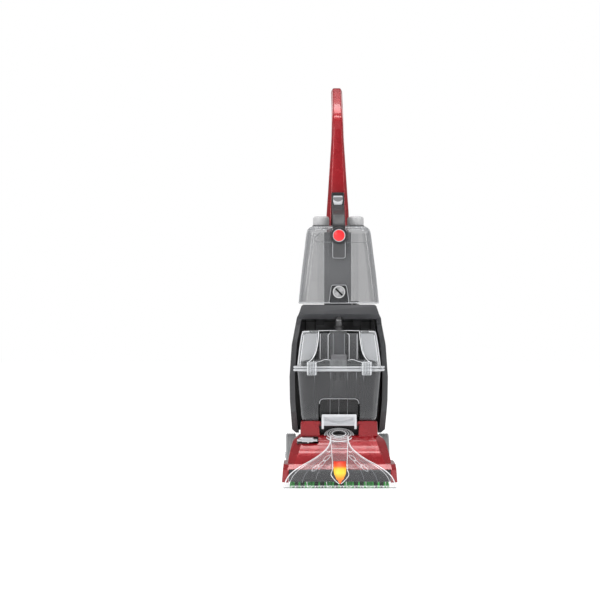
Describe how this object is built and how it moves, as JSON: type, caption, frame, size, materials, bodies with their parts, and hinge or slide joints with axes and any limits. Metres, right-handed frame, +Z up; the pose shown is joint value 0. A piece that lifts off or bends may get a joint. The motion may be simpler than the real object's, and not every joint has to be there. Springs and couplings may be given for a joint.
{
  "type": "carpet cleaner machine",
  "caption": "Upright carpet cleaner with a reclining red handle, clean and dirty water tanks, a clear suction nozzle and gear-driven round brushes on a wheeled base.",
  "frame": {"origin": "on the floor, under the middle of the machine's bounding box", "axes": "+Z up, -Y towards the front with the nozzle, +X to the right seen from the front"},
  "size_m": [0.312, 0.43, 1.123],
  "materials": {
    "red_gloss": "pearl red gloss plastic",
    "dark_grey": "satin dark grey plastic",
    "black": "satin black plastic",
    "silver": "silver painted plastic",
    "light_grey": "satin light grey plastic",
    "smoke": "translucent smoke grey plastic",
    "dark_smoke": "transparent dark smoke plastic",
    "clear": "clear plastic",
    "green": "green nylon bristles on a plastic gear",
    "steel": "plain steel",
    "rubber": "matte black rubber"
  },
  "bodies": {
    "base": {"chassis": "black", "hood": "red_gloss", "lower_cover": "red_gloss", "front_panel": "black", "brush_block": "black", "turbine_housing": "dark_grey", "spray_bar": "black", "axle_left": "steel", "axle_right": "steel", "suction_hose": "rubber", "nozzle_seal": "rubber"},
    "upright": {"motor_casing": "black", "pivot_pin_left": "steel", "pivot_pin_right": "steel", "suction_motor": "steel", "solution_pump": "light_grey", "front_housing": "dark_grey", "rear_housing": "dark_grey", "riser_duct": "black", "valve_seat": "rubber", "solution_tube": "clear", "cord_hook_lower": "black", "handle_front": "red_gloss", "handle_rear": "red_gloss"},
    "recovery_tank": {"recovery_bucket": "dark_smoke"},
    "lid": {"recovery_lid": "clear", "lid_gasket": "rubber", "lid_duct": "dark_grey", "float_cage": "light_grey"},
    "water_tank": {"water_tank": "smoke", "detergent_cup": "clear", "carry_handle": "black", "badge": "red_gloss", "button_spring": "steel", "dial_bezel": "dark_smoke", "tank_valve": "rubber"},
    "brush_1": {"brush_1": "green"},
    "brush_2": {"brush_2": "green"},
    "brush_3": {"brush_3": "green"},
    "brush_4": {"brush_4": "green"},
    "brush_5": {"brush_5": "green"},
    "turbine_rotor": {"turbine_rotor": "light_grey"},
    "nozzle": {"nozzle": "clear"},
    "hood_pedal": {"hood_pedal": "silver"},
    "tank_latch": {"tank_latch": "silver"},
    "wheel_left": {"wheel_left": "light_grey"},
    "wheel_right": {"wheel_right": "light_grey"},
    "recline_pedal": {"recline_pedal": "dark_grey"},
    "suction_fan": {"suction_fan": "light_grey"},
    "power_pedal": {"power_pedal": "dark_grey"},
    "cord_hook_upper": {"cord_hook_upper": "black"},
    "trigger": {"trigger": "black"},
    "trigger_rod": {"trigger_rod": "black"},
    "lid_clip_left": {"lid_clip_left": "dark_grey"},
    "lid_clip_right": {"lid_clip_right": "dark_grey"},
    "float": {"float": "light_grey"},
    "release_button": {"release_button": "silver"},
    "cap_left": {"cap_left": "light_grey"},
    "cap_right": {"cap_right": "light_grey"},
    "mix_dial": {"mix_dial": "light_grey"}
  },
  "joints": [
    {"name": "recline", "type": "hinge", "parent": "base", "child": "upright", "pos_m": [0, 0.11, 0.085], "axis": [-1, 0, 0], "range_deg": [0, 55]},
    {"name": "wheel_left_spin", "type": "hinge", "parent": "base", "child": "wheel_left", "pos_m": [-0.133, 0.12, 0.0625], "axis": [1, 0, 0], "continuous": true},
    {"name": "wheel_right_spin", "type": "hinge", "parent": "base", "child": "wheel_right", "pos_m": [0.133, 0.12, 0.0625], "axis": [1, 0, 0], "continuous": true},
    {"name": "brush_1_spin", "type": "hinge", "parent": "base", "child": "brush_1", "pos_m": [-0.107, -0.143, 0.025], "axis": [0, 0, 1], "continuous": true},
    {"name": "brush_2_spin", "type": "hinge", "parent": "base", "child": "brush_2", "pos_m": [-0.0535, -0.143, 0.025], "axis": [0, 0, 1], "continuous": true},
    {"name": "brush_3_spin", "type": "hinge", "parent": "base", "child": "brush_3", "pos_m": [0, -0.143, 0.025], "axis": [0, 0, 1], "continuous": true},
    {"name": "brush_4_spin", "type": "hinge", "parent": "base", "child": "brush_4", "pos_m": [0.0535, -0.143, 0.025], "axis": [0, 0, 1], "continuous": true},
    {"name": "brush_5_spin", "type": "hinge", "parent": "base", "child": "brush_5", "pos_m": [0.107, -0.143, 0.025], "axis": [0, 0, 1], "continuous": true},
    {"name": "turbine_spin", "type": "hinge", "parent": "base", "child": "turbine_rotor", "pos_m": [0, -0.143, 0.06], "axis": [0, 0, 1], "continuous": true},
    {"name": "fan_spin", "type": "hinge", "parent": "upright", "child": "suction_fan", "pos_m": [0, 0.016, 0.15], "axis": [0, 0, 1], "continuous": true},
    {"name": "nozzle_pull", "type": "slide", "parent": "base", "child": "nozzle", "axis": [0, -1, 0], "range_m": [0, 0.12]},
    {"name": "hood_pedal_press", "type": "hinge", "parent": "base", "child": "hood_pedal", "pos_m": [-0.086, -0.106, 0.13], "axis": [1, 0, 0], "range_deg": [0, 7], "stiffness_Nm_per_rad": 0.6, "springref_deg": -5.73},
    {"name": "tank_latch_pull", "type": "hinge", "parent": "base", "child": "tank_latch", "pos_m": [0, -0.106, 0.163], "axis": [1, 0, 0], "range_deg": [0, 18], "stiffness_Nm_per_rad": 0.4, "springref_deg": -8.59},
    {"name": "recline_pedal_press", "type": "hinge", "parent": "base", "child": "recline_pedal", "pos_m": [-0.1, 0.1504, 0.076], "axis": [-1, 0, 0], "range_deg": [0, 12], "stiffness_Nm_per_rad": 0.8, "springref_deg": -5.73},
    {"name": "power_pedal_press", "type": "hinge", "parent": "upright", "child": "power_pedal", "pos_m": [0.052, 0.1504, 0.118], "axis": [-1, 0, 0], "range_deg": [0, 8], "stiffness_Nm_per_rad": 0.8, "springref_deg": -5.73},
    {"name": "cord_hook_turn", "type": "hinge", "parent": "upright", "child": "cord_hook_upper", "pos_m": [0, 0.12, 0.6], "axis": [0, 1, 0], "range_deg": [0, 180]},
    {"name": "trigger_pull", "type": "hinge", "parent": "upright", "child": "trigger", "pos_m": [0, 0.1372, 1.0562], "axis": [1, 0, 0], "range_deg": [0, 7], "stiffness_Nm_per_rad": 0.6, "springref_deg": -6.88},
    {"name": "trigger_rod_slide", "type": "slide", "parent": "upright", "child": "trigger_rod", "axis": [0, 0.0216, 0.9998], "range_m": [0, 0.0022]},
    {"name": "recovery_tank_pull", "type": "slide", "parent": "upright", "child": "recovery_tank", "axis": [0, -1, 0], "range_m": [0, 0.18]},
    {"name": "lid_lift", "type": "slide", "parent": "recovery_tank", "child": "lid", "axis": [0, 0, 1], "range_m": [0, 0.006]},
    {"name": "lid_clip_left_open", "type": "hinge", "parent": "lid", "child": "lid_clip_left", "pos_m": [-0.075, -0.1275, 0.337], "axis": [-1, 0, 0], "range_deg": [0, 35]},
    {"name": "lid_clip_right_open", "type": "hinge", "parent": "lid", "child": "lid_clip_right", "pos_m": [0.075, -0.1275, 0.337], "axis": [-1, 0, 0], "range_deg": [0, 35]},
    {"name": "float_rise", "type": "slide", "parent": "lid", "child": "float", "axis": [0, 0, 1], "range_m": [0, 0.06]},
    {"name": "water_tank_tilt", "type": "hinge", "parent": "upright", "child": "water_tank", "pos_m": [0, -0.088, 0.498], "axis": [1, 0, 0], "range_deg": [0, 22]},
    {"name": "release_button_press", "type": "slide", "parent": "water_tank", "child": "release_button", "axis": [0, 0, -1], "range_m": [0, 0.005], "stiffness_N_per_m": 300, "springref_m": -0.004, "deforming": ["button_spring"]},
    {"name": "cap_left_turn", "type": "hinge", "parent": "water_tank", "child": "cap_left", "pos_m": [-0.048, -0.008, 0.73], "axis": [0, 0, 1], "range_deg": [0, 270]},
    {"name": "cap_right_turn", "type": "hinge", "parent": "water_tank", "child": "cap_right", "pos_m": [0.048, -0.008, 0.73], "axis": [0, 0, 1], "range_deg": [0, 270]},
    {"name": "mix_dial_turn", "type": "hinge", "parent": "water_tank", "child": "mix_dial", "pos_m": [0, -0.095, 0.53], "axis": [0, 1, 0], "range_deg": [0, 90]}
  ],
  "couplings": [
    {"joint": "brush_2_spin", "follows": "brush_1_spin", "ratio": -1},
    {"joint": "brush_3_spin", "follows": "brush_1_spin", "ratio": 1},
    {"joint": "brush_4_spin", "follows": "brush_1_spin", "ratio": -1},
    {"joint": "brush_5_spin", "follows": "brush_1_spin", "ratio": 1},
    {"joint": "turbine_spin", "follows": "brush_1_spin", "ratio": 8},
    {"joint": "trigger_rod_slide", "follows": "trigger_pull", "m_per_rad": 0.015}
  ]
}
